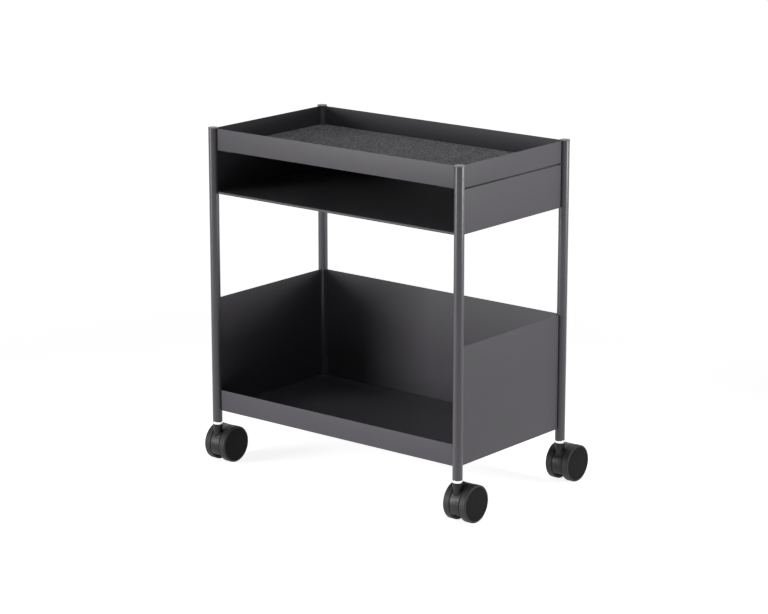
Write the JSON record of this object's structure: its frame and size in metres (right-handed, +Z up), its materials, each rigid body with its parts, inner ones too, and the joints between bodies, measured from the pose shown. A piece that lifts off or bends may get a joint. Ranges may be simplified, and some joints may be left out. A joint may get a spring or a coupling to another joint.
{
  "type": "rolling utility cart",
  "caption": "Rolling utility cart with round steel posts, a felt-lined top tray, an open-fronted cubby and a deep lower bin, on twin-wheel swivel casters.",
  "frame": {"origin": "on the floor, in the middle of the whole footprint", "axes": "+Z up, the open front with the low bin lip faces -Y, +X along the length to the right when seen from the front"},
  "size_m": [0.6104, 0.372, 0.6334],
  "materials": {
    "powder_coat": "satin graphite powder coat on steel",
    "cap_plastic": "satin moulded plastic in the frame's colour",
    "felt": "dark grey heathered wool felt",
    "zinc_steel": "zinc plated steel",
    "sleeve_plastic": "black moulded nylon",
    "bright_plate": "bright plated steel",
    "hood_plastic": "black moulded nylon, fine grain",
    "wheel_plastic": "black moulded nylon, smooth disc",
    "tread_rubber": "dark grey soft tread"
  },
  "bodies": {
    "cart_frame": {"bin_ears": "powder_coat", "bin_nuts": "zinc_steel", "bin_shell": "powder_coat", "bin_studs": "zinc_steel", "caster_socket_back_left": "sleeve_plastic", "caster_socket_back_right": "sleeve_plastic", "caster_socket_front_left": "sleeve_plastic", "caster_socket_front_right": "sleeve_plastic", "caster_stem_back_left": "bright_plate", "caster_stem_back_right": "bright_plate", "caster_stem_front_left": "bright_plate", "caster_stem_front_right": "bright_plate", "cubby_ears": "powder_coat", "cubby_nuts": "zinc_steel", "cubby_shell": "powder_coat", "cubby_studs": "zinc_steel", "grip_rings": "zinc_steel", "post_back_left": "powder_coat", "post_back_right": "powder_coat", "post_cap_back_left": "cap_plastic", "post_cap_back_right": "cap_plastic", "post_cap_front_left": "cap_plastic", "post_cap_front_right": "cap_plastic", "post_front_left": "powder_coat", "post_front_right": "powder_coat", "top_tray": "powder_coat", "tray_ears": "powder_coat", "tray_nuts": "zinc_steel", "tray_studs": "zinc_steel"},
    "liner": {"felt_liner": "felt"},
    "caster_front_left": {"caster_hood_front_left": "hood_plastic", "caster_axle_front_left": "zinc_steel"},
    "wheel_front_left_left": {"wheel_hub_front_left_left": "wheel_plastic", "wheel_tread_front_left_left": "tread_rubber"},
    "wheel_front_left_right": {"wheel_hub_front_left_right": "wheel_plastic", "wheel_tread_front_left_right": "tread_rubber"},
    "caster_front_right": {"caster_hood_front_right": "hood_plastic", "caster_axle_front_right": "zinc_steel"},
    "wheel_front_right_left": {"wheel_hub_front_right_left": "wheel_plastic", "wheel_tread_front_right_left": "tread_rubber"},
    "wheel_front_right_right": {"wheel_hub_front_right_right": "wheel_plastic", "wheel_tread_front_right_right": "tread_rubber"},
    "caster_back_right": {"caster_hood_back_right": "hood_plastic", "caster_axle_back_right": "zinc_steel"},
    "wheel_back_right_left": {"wheel_hub_back_right_left": "wheel_plastic", "wheel_tread_back_right_left": "tread_rubber"},
    "wheel_back_right_right": {"wheel_hub_back_right_right": "wheel_plastic", "wheel_tread_back_right_right": "tread_rubber"},
    "caster_back_left": {"caster_hood_back_left": "hood_plastic", "caster_axle_back_left": "zinc_steel"},
    "wheel_back_left_left": {"wheel_hub_back_left_left": "wheel_plastic", "wheel_tread_back_left_left": "tread_rubber"},
    "wheel_back_left_right": {"wheel_hub_back_left_right": "wheel_plastic", "wheel_tread_back_left_right": "tread_rubber"}
  },
  "joints": [
    {"name": "liner_lift", "type": "slide", "parent": "cart_frame", "child": "liner", "axis": [0, 0, 1], "range_m": [0, 0.06]},
    {"name": "swivel_front_left", "type": "hinge", "parent": "cart_frame", "child": "caster_front_left", "pos_m": [-0.281, -0.1755, 0.06], "axis": [0, 0, 1], "continuous": true},
    {"name": "roll_front_left_left", "type": "hinge", "parent": "caster_front_left", "child": "wheel_front_left_left", "pos_m": [-0.281, -0.152, 0.034], "axis": [1, 0, 0], "continuous": true},
    {"name": "roll_front_left_right", "type": "hinge", "parent": "caster_front_left", "child": "wheel_front_left_right", "pos_m": [-0.281, -0.152, 0.034], "axis": [1, 0, 0], "continuous": true},
    {"name": "swivel_front_right", "type": "hinge", "parent": "cart_frame", "child": "caster_front_right", "pos_m": [0.281, -0.1755, 0.06], "axis": [0, 0, 1], "continuous": true},
    {"name": "roll_front_right_left", "type": "hinge", "parent": "caster_front_right", "child": "wheel_front_right_left", "pos_m": [0.281, -0.152, 0.034], "axis": [1, 0, 0], "continuous": true},
    {"name": "roll_front_right_right", "type": "hinge", "parent": "caster_front_right", "child": "wheel_front_right_right", "pos_m": [0.281, -0.152, 0.034], "axis": [1, 0, 0], "continuous": true},
    {"name": "swivel_back_right", "type": "hinge", "parent": "cart_frame", "child": "caster_back_right", "pos_m": [0.281, 0.1285, 0.06], "axis": [0, 0, 1], "continuous": true},
    {"name": "roll_back_right_left", "type": "hinge", "parent": "caster_back_right", "child": "wheel_back_right_left", "pos_m": [0.281, 0.152, 0.034], "axis": [1, 0, 0], "continuous": true},
    {"name": "roll_back_right_right", "type": "hinge", "parent": "caster_back_right", "child": "wheel_back_right_right", "pos_m": [0.281, 0.152, 0.034], "axis": [1, 0, 0], "continuous": true},
    {"name": "swivel_back_left", "type": "hinge", "parent": "cart_frame", "child": "caster_back_left", "pos_m": [-0.281, 0.1285, 0.06], "axis": [0, 0, 1], "continuous": true},
    {"name": "roll_back_left_left", "type": "hinge", "parent": "caster_back_left", "child": "wheel_back_left_left", "pos_m": [-0.281, 0.152, 0.034], "axis": [1, 0, 0], "continuous": true},
    {"name": "roll_back_left_right", "type": "hinge", "parent": "caster_back_left", "child": "wheel_back_left_right", "pos_m": [-0.281, 0.152, 0.034], "axis": [1, 0, 0], "continuous": true}
  ]
}
